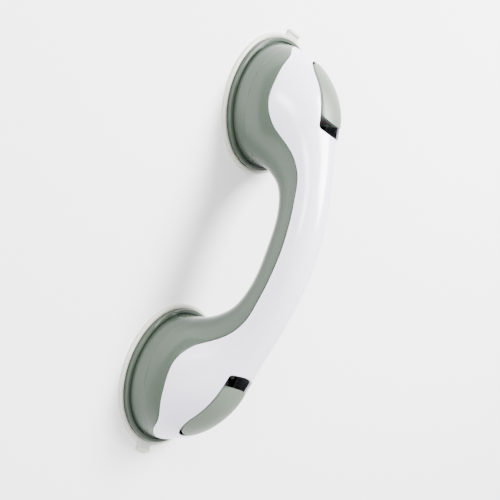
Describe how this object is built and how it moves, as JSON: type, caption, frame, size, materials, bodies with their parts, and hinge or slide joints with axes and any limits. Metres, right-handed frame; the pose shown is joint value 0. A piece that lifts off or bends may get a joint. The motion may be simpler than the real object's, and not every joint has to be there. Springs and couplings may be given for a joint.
{
  "type": "suction grab bar",
  "caption": "Bowed round grip handle flaring at both ends into drums over suction cups, each cup locked and released by a flip-up cam lever.",
  "frame": {"origin": "on the wall plane that the cups' lips lie on, midway between the two cups", "axes": "+X along the bar, +Y across the bar, +Z away from the wall"},
  "size_m": [0.2968, 0.096, 0.0764],
  "materials": {
    "white_shell": "smooth glossy white with a faint lavender tint",
    "sage_shell": "smooth glossy grey-green",
    "lever_plastic": "satin lighter grey-green",
    "clear_rubber": "soft milky cream, slightly translucent",
    "stem_plastic": "dark grey engineering plastic",
    "steel": "plain zinc-plated steel"
  },
  "bodies": {
    "casing": {"upper_cover": "white_shell", "lower_cover": "sage_shell", "pressure_plate_right": "sage_shell", "suction_cup_right": "clear_rubber", "cam_wear_plate_right": "steel", "release_spring_right": "steel", "pressure_plate_left": "sage_shell", "suction_cup_left": "clear_rubber", "cam_wear_plate_left": "steel", "release_spring_left": "steel", "deck_screws": "steel", "cover_screws": "steel"},
    "stem_right": {"cup_stem_right": "stem_plastic", "pivot_pin_right": "steel"},
    "lever_right": {"lever_right": "lever_plastic"},
    "stem_left": {"cup_stem_left": "stem_plastic", "pivot_pin_left": "steel"},
    "lever_left": {"lever_left": "lever_plastic"}
  },
  "joints": [
    {"name": "stem_slide_right", "type": "slide", "parent": "casing", "child": "stem_right", "axis": [0, 0, -1], "range_m": [0, 0.0035], "deforming": ["suction_cup_right", "release_spring_right"]},
    {"name": "lever_hinge_right", "type": "hinge", "parent": "stem_right", "child": "lever_right", "pos_m": [0.096, 0, 0.0479], "axis": [0, -1, 0], "range_deg": [0, 90]},
    {"name": "stem_slide_left", "type": "slide", "parent": "casing", "child": "stem_left", "axis": [0, 0, -1], "range_m": [0, 0.0035], "deforming": ["suction_cup_left", "release_spring_left"]},
    {"name": "lever_hinge_left", "type": "hinge", "parent": "stem_left", "child": "lever_left", "pos_m": [-0.096, 0, 0.0479], "axis": [0, 1, 0], "range_deg": [0, 90]}
  ],
  "couplings": [
    {"joint": "stem_slide_right", "follows": "lever_hinge_right", "m_per_rad": 0.002228},
    {"joint": "stem_slide_left", "follows": "lever_hinge_left", "m_per_rad": 0.002228}
  ]
}
